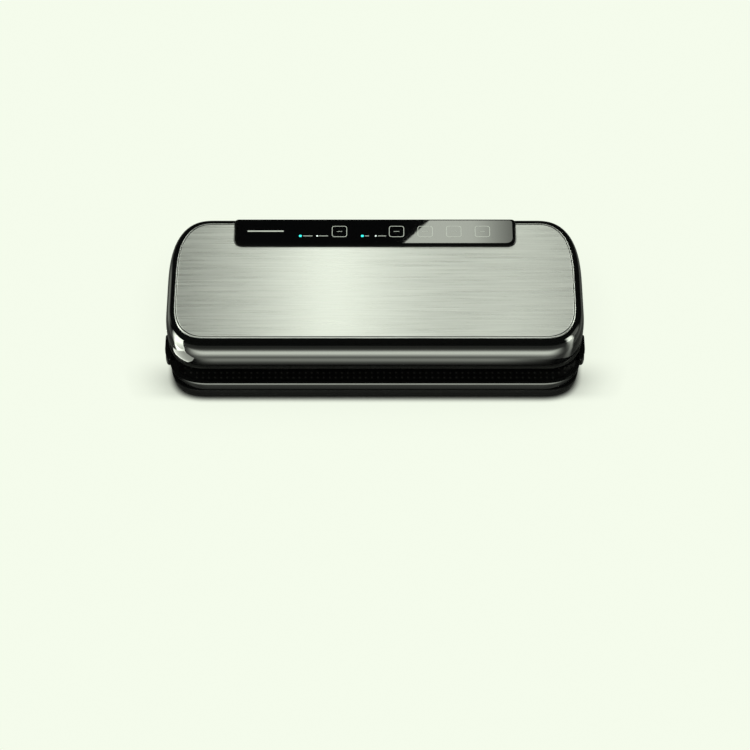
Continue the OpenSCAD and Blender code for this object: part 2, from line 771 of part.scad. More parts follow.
module lid_shell() {
    color("#0b0c0d") difference() {
        union() {
            difference() {
                loft(rings_of(lid_plan, shell_profile));
                slab(lid_plan, lid_wall, groove_z - 1, roof_z);
                slab(lid_plan, waist_wall, 33, 54);
                hinge_bays(groove_z - 1, bay_z);
            }
            at_places(lid_screws_at)
                translate([0, 0, groove_z]) cylinder(h = roof_z + 1 - groove_z, r = 4);
            both_sides() {
                rod_along_x(knuckle_x[0], knuckle_x[1], hinge_y, hinge_z, knuckle_r);
                box([knuckle_x[0], hinge_y - knuckle_r, hinge_z],
                    [knuckle_x[1], hinge_y + 0.6, bay_z + 3]);
            }
        }
        both_sides()
            rod_along_x(knuckle_x[0] - 1, knuckle_x[1] + 1, hinge_y, hinge_z, pin_r + running);
        at_places(lid_screws_at) cylinder(h = 42, r = 1.25);
        // The seats of the top plate and the bezel, and the panel lead's way out
        slab(lid_plan, 0.15, bed_z, plate_z + 1);
        slab(bezel_plan, 0.1, bezel_z, plate_z + 1);
        box([-60, 56, roof_z - 1], [-52, 64, bezel_z + 1]);
    }
}

module lid_frame() {
    panel_top = groove_z + 2.5;
    color("#131517") difference() {
        union() {
            loft(rings_of(lid_plan, frame_profile));
            difference() {
                slab(lid_plan, lid_wall - 0.2, groove_z, groove_z + 3);
                slab(lid_plan, 0.2, groove_z - 1, groove_z + 4);
            }
            box([-167, lid_plan[1] + 0.3, groove_z], [167, well_plan[1], panel_top]);
        }
        // The pocket over the heater bar and the tray, and the opening over the pump's housing
        box([-165, -59.5, frame_z - 1], [165, well_plan[1] - 3, groove_z]);
        slab(well_plan, 0, frame_z - 1, groove_z + 5);
        hinge_bays(frame_z - 1, groove_z + 5);
        both_sides()
            box([hook_x[0] - 0.1, hook_y - hook_half - 0.1, frame_z - 1],
                [hook_x[1] + 0.1, hook_y + hook_half + 0.1, groove_z + 1]);
        box([-bar_len / 2 + 1.8, bar_y - 1.6, groove_z - 1],
            [bar_len / 2 - 1.8, bar_y + 1.6, groove_z + 1.5]);
        at_places(lid_screws_at) {
            translate([0, 0, frame_z - 1]) cylinder(h = 2.6, r = 2.8);
            translate([0, 0, frame_z - 1]) cylinder(h = frame_t + 5, r = 1.5);
            // Room for the shell's post
            translate([0, 0, groove_z]) cylinder(h = 5, r = 4.2);
        }
    }
}

module lid_screws() {
    color("silver") at_places(lid_screws_at) screw(frame_z + 0.2, 2.6, 1.4, 1.2, 12);
}

module top_plate() {
    color("#bcbdb8") difference() {
        slab(lid_plan, 0, bed_z, plate_z);
        slab(bezel_plan, 0.25, bed_z - 1, plate_z + 1);
    }
}

module panel_bezel() {
    profile = [[0, bezel_z], [0, bezel_top - 1.9], [-1, bezel_top - 0.4], [-1.8, bezel_top]];
    color("#0d0e0f") difference() {
        loft(rings_of(bezel_plan, profile));
        slab(glass_plan, 0.1, glass_z, bezel_top + 1);
        slab(board_plan, 0.2, board_z, glass_z + 0.1);
        box([-60, 56, bezel_z - 1], [-52, 64, board_z + 0.5]);
    }
}

module panel_glass() {
    top = glass_z + glass_t;
    color("#060708") loft(rings_of(glass_plan, [[0, glass_z], [0, top - 0.3], [-0.3, top]]));
}

module touch_board() {
    color("#1f5b34") slab(board_plan, 0, board_z, board_z + board_t);
}

module indicator_lamps() {
    z = board_z + board_t;
    color("#5fe3ff") for (x = lamps_x)
        box([x - 1, lamps_y - 0.6, z], [x + 1, lamps_y + 0.6, z + led_h]);
}

// Printed outlines on the glass, one for each touch key.
module touch_marks() {
    h = mark_w - 1;
    line = 0.9;
    mark = [mark_w / 2, marks_y - h / 2, marks_y + h / 2, [3, 3], [3, 3]];
    z = glass_z + glass_t;
    color("#d9dcdc") for (x = marks_x) translate([x, 0, 0]) difference() {
        slab(mark, 0, z, z + ink_t);
        slab(mark, -line, z - 1, z + 1);
    }
}

module upper_gasket() {
    gasket(deck_z + 2.6, groove_z);
}

module pressure_strip() {
    color("#8c8f90") {
        box([-bar_len / 2 + 1, bar_y - bar_w / 2, bar_top + 0.9],
            [bar_len / 2 - 1, bar_y + bar_w / 2, groove_z]);
        box([-bar_len / 2 + 2, bar_y - 1.5, groove_z], [bar_len / 2 - 2, bar_y + 1.5, groove_z + 1.4]);
    }
}

// The hook's shank and barb, seen from the front, and the flange that holds it in the frame.
module lid_hook() {
    inner = hook_x[0] - barb;
    color("#d4d2c8") {
        translate([0, hook_y + hook_half, 0]) rotate([90, 0, 0]) linear_extrude(2 * hook_half)
            polygon([[hook_x[1], groove_z], [hook_x[0], groove_z], [hook_x[0], hook_tip + 4],
                [inner, hook_tip + 4], [inner, hook_tip + 3], [hook_x[0], hook_tip],
                [hook_x[1], hook_tip]]);
        box([hook_x[0] - 2.6, hook_y - 7, groove_z], [hook_x[1] + 4, hook_y + 7, groove_z + 2]);
    }
}

module lid_hook_left() {
    mirror([1, 0, 0]) lid_hook();
}

module lid_hook_right() {
    lid_hook();
}

module lid_magnet() {
    color("#6d7073") box([175, 11, groove_z], [181, 19, groove_z + 3]);
}

bottom_cover();
base_deck();
grip_strip();
rubber_feet();
base_screws();
vacuum_tray();
lower_gasket();
heater_bar();
heating_wire();
ptfe_tape();
pump_housing();
housing_screws();
hinge_pins();
release_button_left();
release_button_right();
button_spring_left();
button_spring_right();
pump_motor();
pump_bracket();
pump_crank();
pump_rod();
piston_cup();
pump_cylinder();
pump_cap();
pump_screws();
solenoid_valve();
air_nozzle();
air_tubes();
transformer_core();
transformer_coil();
power_board();
board_components();
lid_sensor();
mains_inlet();
inlet_pins();
wiring();
panel_lead();
lid_shell();
lid_frame();
top_plate();
panel_bezel();
panel_glass();
touch_board();
indicator_lamps();
touch_marks();
upper_gasket();
pressure_strip();
lid_hook_left();
lid_hook_right();
lid_screws();
lid_magnet();
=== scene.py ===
import json
import math

import bmesh
import bpy
from mathutils import Vector
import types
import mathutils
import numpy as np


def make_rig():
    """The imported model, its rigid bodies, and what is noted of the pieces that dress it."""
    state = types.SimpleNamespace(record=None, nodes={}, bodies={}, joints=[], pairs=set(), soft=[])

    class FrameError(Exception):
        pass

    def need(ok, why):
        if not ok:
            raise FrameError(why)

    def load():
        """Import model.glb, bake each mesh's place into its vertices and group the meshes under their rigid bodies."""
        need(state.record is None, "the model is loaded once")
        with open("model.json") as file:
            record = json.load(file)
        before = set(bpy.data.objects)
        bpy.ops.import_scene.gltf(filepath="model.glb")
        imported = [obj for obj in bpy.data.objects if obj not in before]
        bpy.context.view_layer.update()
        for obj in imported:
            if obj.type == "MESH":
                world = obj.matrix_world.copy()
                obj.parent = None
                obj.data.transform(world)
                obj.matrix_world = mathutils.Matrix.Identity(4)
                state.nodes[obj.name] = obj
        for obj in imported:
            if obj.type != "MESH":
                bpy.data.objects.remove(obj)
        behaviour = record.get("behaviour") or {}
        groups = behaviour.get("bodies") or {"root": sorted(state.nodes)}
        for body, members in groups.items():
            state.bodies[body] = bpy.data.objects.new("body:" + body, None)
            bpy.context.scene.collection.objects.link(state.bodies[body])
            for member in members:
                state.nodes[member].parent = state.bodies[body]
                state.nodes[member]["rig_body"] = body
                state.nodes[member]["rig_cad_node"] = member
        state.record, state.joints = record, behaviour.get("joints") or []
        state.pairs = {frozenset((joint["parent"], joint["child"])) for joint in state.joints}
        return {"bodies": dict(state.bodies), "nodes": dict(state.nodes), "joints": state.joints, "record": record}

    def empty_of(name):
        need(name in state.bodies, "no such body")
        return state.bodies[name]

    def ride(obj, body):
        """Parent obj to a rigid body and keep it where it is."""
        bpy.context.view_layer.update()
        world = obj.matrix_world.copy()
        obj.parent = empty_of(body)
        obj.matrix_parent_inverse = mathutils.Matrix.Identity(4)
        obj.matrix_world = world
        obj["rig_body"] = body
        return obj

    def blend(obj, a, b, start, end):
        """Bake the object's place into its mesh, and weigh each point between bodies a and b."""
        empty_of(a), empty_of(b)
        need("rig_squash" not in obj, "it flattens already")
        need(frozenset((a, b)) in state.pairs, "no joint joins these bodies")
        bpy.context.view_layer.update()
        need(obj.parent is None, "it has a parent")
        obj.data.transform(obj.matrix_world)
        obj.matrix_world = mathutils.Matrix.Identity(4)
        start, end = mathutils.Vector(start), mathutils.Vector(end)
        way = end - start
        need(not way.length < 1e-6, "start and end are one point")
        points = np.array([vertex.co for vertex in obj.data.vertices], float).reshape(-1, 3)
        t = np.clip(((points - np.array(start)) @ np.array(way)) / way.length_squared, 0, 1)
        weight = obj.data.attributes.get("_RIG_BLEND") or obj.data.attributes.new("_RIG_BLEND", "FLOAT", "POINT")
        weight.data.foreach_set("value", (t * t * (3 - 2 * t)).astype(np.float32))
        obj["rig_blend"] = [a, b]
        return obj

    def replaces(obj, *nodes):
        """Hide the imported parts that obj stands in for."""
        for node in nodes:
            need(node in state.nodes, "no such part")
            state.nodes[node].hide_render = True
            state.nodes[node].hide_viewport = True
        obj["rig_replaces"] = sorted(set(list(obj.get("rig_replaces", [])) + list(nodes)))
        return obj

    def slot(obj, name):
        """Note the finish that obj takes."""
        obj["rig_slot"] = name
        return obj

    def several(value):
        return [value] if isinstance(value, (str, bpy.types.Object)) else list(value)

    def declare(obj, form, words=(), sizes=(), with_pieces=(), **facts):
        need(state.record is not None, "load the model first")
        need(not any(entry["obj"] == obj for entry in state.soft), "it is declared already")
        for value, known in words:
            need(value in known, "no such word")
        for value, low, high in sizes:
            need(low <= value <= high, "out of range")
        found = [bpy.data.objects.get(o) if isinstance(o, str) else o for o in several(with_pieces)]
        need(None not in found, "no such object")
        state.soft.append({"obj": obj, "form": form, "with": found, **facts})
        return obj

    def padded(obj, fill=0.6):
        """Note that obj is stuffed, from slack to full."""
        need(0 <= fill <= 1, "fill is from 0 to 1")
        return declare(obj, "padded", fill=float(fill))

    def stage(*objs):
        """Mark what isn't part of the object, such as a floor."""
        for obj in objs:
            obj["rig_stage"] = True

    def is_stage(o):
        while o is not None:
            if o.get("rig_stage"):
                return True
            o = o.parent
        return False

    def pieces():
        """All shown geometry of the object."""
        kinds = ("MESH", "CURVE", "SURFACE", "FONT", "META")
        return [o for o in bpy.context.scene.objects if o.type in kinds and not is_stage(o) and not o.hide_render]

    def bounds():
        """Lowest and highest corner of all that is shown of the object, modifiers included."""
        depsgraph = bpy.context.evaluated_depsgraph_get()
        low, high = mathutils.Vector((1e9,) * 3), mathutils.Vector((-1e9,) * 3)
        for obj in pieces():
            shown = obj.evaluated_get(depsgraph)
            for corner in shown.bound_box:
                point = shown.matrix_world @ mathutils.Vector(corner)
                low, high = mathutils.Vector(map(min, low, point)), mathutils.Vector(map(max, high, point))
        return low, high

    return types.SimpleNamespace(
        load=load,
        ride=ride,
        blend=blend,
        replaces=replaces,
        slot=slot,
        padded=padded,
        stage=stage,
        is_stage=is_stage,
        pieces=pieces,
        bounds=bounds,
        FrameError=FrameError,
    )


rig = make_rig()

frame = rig.load()
cad_low, cad_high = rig.bounds()

# Lengths are in millimetres until a mesh is made. A profile is a list of [offset, height].
MM = 0.001
POWER = 2.6
STEPS = 22
ALL = bpy.context.scene.collection

# Outlines seen from above: half width, front, back, front corner, back corner. The base's side
# walls lean outwards, from BASE at its joint to BASE_TOP at its rim.
LID = (183.4, -61.5, 72.5, (31.2, 40.6), (33.6, 62.6))
BASE = (187.2, -84.0, 80.0, (38.0, 38.0), (40.0, 68.0))
BASE_TOP = (190.2, -84.0, 80.0, (39.0, 37.0), (41.0, 68.0))
COVER = (187.2, -84.0, 80.0, (34.0, 34.0), (38.0, 66.0))
DECK = (184.2, -68.0, 78.0, (35.0, 45.0), (38.0, 66.0))
BEZEL = (131.0, 43.9, 75.9, (10.0, 10.0), (5.0, 5.0))
GLASS = (128.0, 46.2, 73.8, (8.0, 8.0), (3.5, 3.5))
TRAY = (150.0, -40.0, -18.0, (8.0, 8.0), (8.0, 8.0))
RING = (157.0, -45.5, -12.5, (9.0, 9.0), (9.0, 9.0))
OPENING = (156.0, 0.0, 62.0, (6.0, 6.0), (6.0, 6.0))
WELL = (173.5, -8.5, 69.5, (8.0, 8.0), (8.0, 8.0))

DECK_Z = 24.0
SPLIT_Z = 13.6
RIM_Z = 22.6
GROOVE_Z = 28.5
BED_Z = 61.8
PLATE_Z = 63.0
FLOOR_Z = 5.0
GLASS_Z = 65.5
INK_Z = 65.55
MARK_Y = 60.2
LABEL_Y = 54.9
BADGE_Y = 60.6
HINGE = (79.5, 28.5)
HOOK_Y = -41.0
BAR_Y = -54.0
BASE_SCREWS = ((130, -70), (130, 70), (0, -70), (0, 70))
LID_SCREWS = ((181, -18), (178.3, 46), (120, -62.6), (0, -62.6), (85, 72.4))


# ---- Shapes: each is a pair of vertices and faces ----

def quarter(cx, cy, rx, ry, start):
    points = []
    for i in range(STEPS + 1):
        a = math.radians(start + 90 * i / STEPS)
        c, s = math.cos(a), math.sin(a)
        r = (abs(c) ** POWER + abs(s) ** POWER) ** (-1 / POWER)
        points.append((cx + rx * c * r, cy + ry * s * r))
    return points


def outline(plan, t=0.0):
    w, f, b = plan[0] + t, plan[1] - t, plan[2] + t
    fx, fy, bx, by = (max(r + t, 0.2) for r in (*plan[3], *plan[4]))
    return (quarter(w - fx, f + fy, fx, fy, -90) + quarter(w - bx, b - by, bx, by, 0)
            + quarter(bx - w, b - by, bx, by, 90) + quarter(fx - w, f + fy, fx, fy, 180))


def at(points, z):
    return [(x, y, z) for x, y in points]


def curve(points, n):
    """The smooth line through points, with n steps from each to the next."""
    out = []
    for i in range(len(points) - 1):
        a, b = points[max(i - 1, 0)], points[i]
        c, d = points[i + 1], points[min(i + 2, len(points) - 1)]
        for k in range(n):
            t = k / n
            out.append(tuple(
                0.5 * (2 * q + (r - p) * t + (2 * p - 5 * q + 4 * r - s) * t * t
                       + (3 * q - 3 * r + s - p) * t ** 3)
                for p, q, r, s in zip(a, b, c, d)))
    return out + [tuple(points[-1])]


def loft(rings, closed=False):
    n = len(rings[0])
    verts = [p for ring in rings for p in ring]
    faces = []
    count = len(rings)
    for k in range(count if closed else count - 1):
        low, high = k * n, (k + 1) % count * n
        faces += [(low + i, low + (i + 1) % n, high + (i + 1) % n, high + i) for i in range(n)]
    if not closed:
        faces += [tuple(range(n - 1, -1, -1)), tuple(range((count - 1) * n, count * n))]
    return verts, faces


def rings(plan, profile):
    return [at(outline(plan, t), z) for t, z in profile]


def slab(plan, t, z0, z1):
    return loft(rings(plan, [(t, z0), (t, z1)]))


def box(low, high):
    (x0, y0, z0), (x1, y1, z1) = low, high
    foot = [(x0, y0), (x1, y0), (x1, y1), (x0, y1)]
    return loft([at(foot, z0), at(foot, z1)])


def turned(axis, points):
    """Points drawn about Z, turned so that Z is the given axis."""
    if axis == "x":
        return [(z, x, y) for x, y, z in points]
    if axis == "y":
        return [(y, z, x) for x, y, z in points]
    return points


def lathe(axis, centre, profile, sides=48):
    """A turned solid: profile is [radius, place along the axis], from end to end."""
    loops = []
    for r, h in profile:
        ring = [(r * math.cos(math.tau * k / sides), r * math.sin(math.tau * k / sides), h)
                for k in range(sides)]
        loops.append([tuple(a + b for a, b in zip(centre, p)) for p in turned(axis, ring)])
    return loft(loops)


def rod(axis, a, b, centre, r, sides=48):
    return lathe(axis, centre, [(r, a), (r, b)], sides)


def post(x, y, z0, z1, r, sides=40):
    return rod("z", z0, z1, (x, y, 0), r, sides)


def moved(shape, x=0.0, y=0.0):
    return [(a + x, b + y, c) for a, b, c in shape[0]], shape[1]


def mirrored(shape):
    return [(-x, y, z) for x, y, z in shape[0]], [tuple(reversed(f)) for f in shape[1]]


def both(*shapes):
    return [*shapes, *map(mirrored, shapes)]


def at_places(places, make):
    out = []
    for x, y in places:
        out += [make(x, y)] + ([make(-x, y)] if x > 0 else [])
    return out


def tube(path, r, sides=10, hint=(1, 3, 2)):
    loops, points = [], [Vector(p) for p in path]
    for i, p in enumerate(points):
        t = (points[min(i + 1, len(points) - 1)] - points[max(i - 1, 0)]).normalized()
        u = t.cross(Vector(hint)).normalized()
        v = t.cross(u)
        loops.append([tuple(p + r * (math.cos(math.tau * k / sides) * u
                                     + math.sin(math.tau * k / sides) * v))
                      for k in range(sides)])
    return loft(loops)


def joined(shapes):
    verts, faces = [], []
    for v, f in shapes:
        faces += [tuple(i + len(verts) for i in face) for face in f]
        verts += v
    return verts, faces


def raw(name, shapes):
    verts, faces = joined(shapes)
    mesh = bpy.data.meshes.new(name)
    mesh.from_pydata([tuple(c * MM for c in v) for v in verts], [], faces)
    outward = bmesh.new()
    outward.from_mesh(mesh)
    bmesh.ops.recalc_face_normals(outward, faces=outward.faces)
    outward.to_mesh(mesh)
    outward.free()
    obj = bpy.data.objects.new(name, mesh)
    ALL.objects.link(obj)
    return obj


def settle(obj, sharp):
    """Applies the modifiers and shades smoothly but for edges sharper than the angle."""
    graph = bpy.context.evaluated_depsgraph_get()
    mesh = bpy.data.meshes.new_from_object(obj.evaluated_get(graph))
    obj.modifiers.clear()
    obj.data = mesh
    mesh.polygons.foreach_set("use_smooth", [True] * len(mesh.polygons))
    mesh.set_sharp_from_angle(angle=math.radians(sharp))
    return obj


def boolean(obj, other, operation):
    m = obj.modifiers.new(operation, "BOOLEAN")
    m.operation, m.solver, m.use_self, m.object = operation, "EXACT", True, other


def piece(name, add, cut=(), join=(), drill=(), body="base", node=None, sharp=28):
    """A piece of the object: add less cut, with join fused to it, less drill."""
    obj = raw(name, add)
    others = []
    for shapes, operation in ((cut, "DIFFERENCE"), (join, "UNION"), (drill, "DIFFERENCE")):
        if shapes:
            others.append(raw(name + "_tool", shapes))
            boolean(obj, others[-1], operation)
    settle(obj, sharp)
    for other in others:
        bpy.data.objects.remove(other)
    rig.ride(obj, body)
    if node:
        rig.replaces(obj, node)
    return obj


# ---- Materials ----

class Nodes:
    """A short way to write a material's or world's nodes."""

    def __init__(self, tree):
        self.tree = tree
        tree.nodes.clear()

    def add(self, kind, links=None, **values):
        node = self.tree.nodes.new("ShaderNode" + kind)
        for key, value in values.items():
            setattr(node, key, value)
        for key, value in (links or {}).items():
            socket = node.inputs[key]
            if isinstance(value, bpy.types.NodeSocket):
                self.tree.links.new(value, socket)
            else:
                socket.default_value = value
        return node

    def place(self, scale=(1, 1, 1)):
        coordinates = self.add("TexCoord")
        return self.add("Mapping", {0: coordinates.outputs["Object"], 3: scale}).outputs[0]

    def noise(self, scale, size=1.0, detail=3.0, rough=0.55):
        """Noise whose grain is size millimetres, stretched by scale."""
        return self.add("TexNoise", {"Vector": self.place(scale), "Scale": 1000.0 / size,
                                     "Detail": detail, "Roughness": rough}).outputs[0]

    def spread(self, value, low, high, a=0.3, b=0.7):
        return self.add("MapRange", {0: value, 1: a, 2: b, 3: low, 4: high}).outputs[0]

    def mix(self, value, a, b):
        node = self.add("Mix", {0: value, 6: (*a, 1), 7: (*b, 1)}, data_type="RGBA")
        return node.outputs[2]


def toned(color, k):
    return tuple(min(c * k, 1.0) for c in color)


def material(name, color, rough, metal=0.0, vary=0.18, grain=0.6, stretch=(1, 1, 1), bump=0.15,
             height=0.02, pattern="noise", pitch=1.0, spread=0.06, patch=18.0, **sockets):
    """A surface with patches of tone, a fine texture of its own grain, and uneven gloss.
    grain, height, pitch and patch are in millimetres."""
    made = bpy.data.materials.new(name)
    made.use_nodes = True
    n = Nodes(made.node_tree)
    fine = n.noise(stretch, grain, 4.0)
    wide = n.noise(stretch, patch, 2.0)
    if pattern == "noise":
        relief = fine
    elif pattern == "cells":
        relief = n.add("TexVoronoi", {"Vector": n.place(), "Scale": 1000.0 / pitch}).outputs[0]
    elif pattern == "weave":
        waves = [n.add("TexWave", {"Vector": n.place(), "Scale": 314.0 / pitch, "Distortion": 0.3},
                       bands_direction=d).outputs[1] for d in "XY"]
        relief = n.add("Math", {0: waves[0], 1: waves[1]}, operation="MULTIPLY").outputs[0]
    else:
        waves = n.add("TexWave", {"Vector": n.place(), "Scale": 314.0 / pitch, "Distortion": 0.2},
                      bands_direction=pattern).outputs[1]
        relief = n.add("Math", {0: waves, 1: fine}, operation="MULTIPLY").outputs[0]
    tone = n.mix(n.spread(wide, 0, 1), toned(color, 1 - vary), toned(color, 1 + vary))
    dark = n.mix(n.spread(relief, 0, 1, 0.0, 0.6),
                 toned(color, 1 - 2 * vary), toned(color, 1 + vary))
    blend = n.add("Mix", {0: 0.5, 6: tone, 7: dark}, data_type="RGBA").outputs[2]
    gloss = n.spread(fine, rough - spread, rough + spread)
    bumped = n.add("Bump", {"Strength": bump, "Distance": height * MM, "Height": relief})
    surface = n.add("BsdfPrincipled", {"Base Color": blend, "Roughness": gloss, "Metallic": metal,
                                       "Normal": bumped.outputs[0], **sockets})
    n.add("OutputMaterial", {0: surface.outputs[0]})
    return made


def glowing(name, color, strength):
    """A lit lamp window whose brightness and tint vary in fine patches."""
    made = bpy.data.materials.new(name)
    made.use_nodes = True
    n = Nodes(made.node_tree)
    level = n.spread(n.noise((1, 1, 1), 0.7, 2.0), strength * 0.8, strength * 1.15)
    surface = n.add("BsdfPrincipled", {
        "Base Color": n.mix(n.noise((1, 1, 1), 0.4), toned(color, 0.7), color), "Roughness": 0.2,
        "Emission Color": (*color, 1), "Emission Strength": level})
    n.add("OutputMaterial", {0: surface.outputs[0]})
    return made


def brushed(name, color, rough, streak):
    """Steel with long brush marks along X: short and long strokes in tone, gloss and relief."""
    made = bpy.data.materials.new(name)
    made.use_nodes = True
    n = Nodes(made.node_tree)
    hair = n.noise((0.010, 1, 1), 0.5, 3.0, 0.6)
    stroke = n.noise((0.022, 1, 1), 1.15, 2.0, 0.5)
    band = n.noise((0.03, 1, 1), 2.2, 1.0, 0.4)
    marks = n.add("Math", {0: hair, 1: stroke}, operation="ADD")
    marks = n.add("Math", {0: marks.outputs[0], 1: band}, operation="ADD").outputs[0]
    tone = n.mix(n.spread(marks, 0, 1, 1.2, 1.8), toned(color, 1 - streak), toned(color, 1 + streak))
    gloss = n.spread(marks, rough - 0.05, rough + 0.05, 1.2, 1.8)
    bumped = n.add("Bump", {"Strength": 0.25, "Distance": 0.00002, "Height": hair})
    tangent = n.add("Tangent", direction_type="UV_MAP")
    surface = n.add("BsdfPrincipled", {
        "Base Color": tone, "Roughness": gloss, "Metallic": 1.0, "Anisotropic": 0.75,
        "Normal": bumped.outputs[0], "Tangent": tangent.outputs[0]})
    n.add("OutputMaterial", {0: surface.outputs[0]})
    return made


MATERIALS = {
    "black_gloss": material("black_gloss", (0.0032, 0.0033, 0.0034), 0.055, vary=0.12, grain=1.4,
                            bump=0.03, height=0.004, spread=0.018, IOR=1.5),
    "black_satin": material("black_satin", (0.0030, 0.0031, 0.0031), 0.36, grain=0.25, bump=0.25,
                            height=0.02, pattern="cells", pitch=0.45,
                            **{"Specular IOR Level": 0.1}),
    # A paler, glossier copy of black_satin for the lid frame: painted light that makes it brighter than its own
    # finish.
    "satin_rim_painted_lighter": material("satin_rim_painted_lighter", (0.013, 0.0132, 0.0128), 0.26, grain=0.25, bump=0.25,
                          height=0.02, pattern="cells", pitch=0.45),
    "grip_rubber": material("grip_rubber", (0.0016, 0.0016, 0.0016), 0.42, grain=0.3, bump=0.3,
                            height=0.03, **{"Specular IOR Level": 0.35}),
    # The grip dots are the strip's own rubber painted paler: painted sheen on their domes.
    "grip_dot_painted_sheen": material("grip_dot_painted_sheen", (0.014, 0.014, 0.0135), 0.4, grain=0.3, bump=0.2),
    # Paler copies of black_satin and black_gloss for the mouldings inside: painted light.
    "satin_inner_painted_lighter": material("satin_inner_painted_lighter", (0.024, 0.0245, 0.025), 0.36, grain=0.25, bump=0.25,
                            height=0.02, pattern="cells", pitch=0.45),
    "gloss_inner_painted_lighter": material("gloss_inner_painted_lighter", (0.016, 0.0162, 0.0165), 0.12, vary=0.12, grain=1.4,
                            bump=0.05),
    "rubber": material("rubber", (0.016, 0.016, 0.016), 0.65, grain=0.35, bump=0.35, height=0.04),
    "steel_plate": brushed("steel_plate", (0.61, 0.615, 0.61), 0.31, 0.095),
    "steel": material("steel", (0.58, 0.58, 0.57), 0.24, 1.0, grain=0.5, bump=0.12),
    "foam": material("foam", (0.035, 0.035, 0.038), 0.9, vary=0.3, grain=0.2, bump=0.8,
                     height=0.12, pattern="cells", pitch=0.5),
    "bar": material("bar", (0.52, 0.43, 0.31), 0.45, grain=0.4, stretch=(0.1, 1, 1), bump=0.2),
    "wire_alloy": material("wire_alloy", (0.46, 0.42, 0.37), 0.3, 1.0, grain=0.3,
                           stretch=(0.05, 1, 1)),
    "ptfe": material("ptfe", (0.40, 0.25, 0.11), 0.42, grain=0.3, bump=0.4, height=0.04,
                     pattern="weave", pitch=0.6),
    "silicone": material("silicone", (0.24, 0.25, 0.26), 0.5, grain=0.4, bump=0.2),
    "motor_steel": material("motor_steel", (0.42, 0.43, 0.44), 0.32, 1.0, grain=0.5,
                            stretch=(1, 0.1, 0.1)),
    "zinc": material("zinc", (0.52, 0.54, 0.55), 0.36, 1.0, grain=1.2, bump=0.2),
    "white_plastic": material("white_plastic", (0.66, 0.63, 0.55), 0.4, vary=0.06, grain=0.5),
    "cup": material("cup", (0.018, 0.018, 0.018), 0.55, grain=0.3, bump=0.3),
    "valve": material("valve", (0.04, 0.055, 0.08), 0.4, grain=0.3, bump=0.2),
    "tube": material("tube", (0.55, 0.60, 0.58), 0.3, vary=0.08, grain=1.5, bump=0.05),
    "lamination": material("lamination", (0.10, 0.105, 0.11), 0.42, 0.6, grain=0.3, bump=0.6,
                           height=0.08, pattern="Y", pitch=0.7),
    "winding": material("winding", (0.42, 0.15, 0.04), 0.34, 0.7, grain=0.3, bump=0.7,
                        height=0.12, pattern="Z", pitch=0.6),
    "board": material("board", (0.010, 0.075, 0.028), 0.35, grain=0.8, bump=0.2, height=0.03,
                      pattern="weave", pitch=2.2),
    "parts": material("parts", (0.022, 0.024, 0.028), 0.45, grain=0.25, bump=0.25),
    "lead": material("lead", (0.26, 0.015, 0.015), 0.32, vary=0.1, grain=0.8, bump=0.1),
    "black_lead": material("black_lead", (0.010, 0.010, 0.011), 0.38, grain=0.6, bump=0.12),
    "glass": material("glass", (0.0022, 0.0022, 0.0026), 0.02, vary=0.08, grain=4.0, bump=0.0,
                      spread=0.006, IOR=1.52),
    "ink": material("ink", (0.62, 0.64, 0.62), 0.5, vary=0.08, grain=0.3, bump=0.1),
    "natural": material("natural", (0.62, 0.60, 0.53), 0.42, vary=0.06, grain=0.5),
    "magnet": material("magnet", (0.13, 0.135, 0.14), 0.5, 0.5, grain=0.3, bump=0.3),
    "lamp": glowing("lamp", (0.03, 0.62, 0.58), 1.3),
    "lamp_white": glowing("lamp_white", (0.85, 0.95, 0.92), 0.8),
}


def finish_as(obj, slot, look=None):
    obj.data.materials.clear()
    obj.data.materials.append(MATERIALS[look or slot])
    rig.slot(obj, slot)
    return obj


# The inside is lit less than the outside, so its black mouldings take paler copies of their finishes: painted light in
# place of the light they lack.
PAINTED_LIGHTER_INSIDE = {"black_satin": "satin_inner_painted_lighter", "black_gloss": "gloss_inner_painted_lighter"}
for entry in frame["record"]["subparts"]:
    node = frame["nodes"][entry["node"]]
    node.data.materials.clear()
    slot = entry["material_slot"]
    node.data.materials.append(MATERIALS[PAINTED_LIGHTER_INSIDE.get(slot, slot)])


# ---- Base ----

def wells():
    return both(box((183.6, -56.9, 10.6), (192, -27.1, 25)))


def inlet_hollow(z0, z1):
    return box((-87.2, 74, z0), (-62.8, 85, z1))


cover_profile = [(-2.6, 3), (-2.1, 3.15), (-1.6, 3.6), (-1.2, 4.4), (-0.8, 6), (-0.3, 9.3),
                 (-0.03, 12), (0, 12.6), (-0.2, 13.1), (-0.9, SPLIT_Z)]
vents = [box((x, 18, 0), (x + 2.4, 40, 6)) for x in range(-48, -17, 6)]
vents += [box((x, 20, 0), (x + 2.4, 46, 6)) for x in range(100, 137, 6)]
cover = piece(
    "bottom_cover_skin",
    [loft(rings(COVER, curve(cover_profile, 3)) + rings(BASE, [(-4.2, SPLIT_Z), (-4.2, FLOOR_Z)]))],
    cut=[inlet_hollow(5.8, 15)] + vents
    + at_places(((165, -58), (165, 60)), lambda x, y: post(x, y, 0, 6, 2.9))
    + at_places(BASE_SCREWS, lambda x, y: lathe(
        "z", (x, y, 0), [(3.4, 0), (3.4, 6), (1.7, 6.1), (1.7, 15)])),
    join=both(box((181.4, -59.5, 4.9), (184.6, -24.5, SPLIT_Z))), drill=wells(),
    node="bottom_cover")
finish_as(cover, "black_satin")


def ledge(y):
    return min(DECK_Z, 22.55 + 1.45 / 14.2 * (y + 82.2))


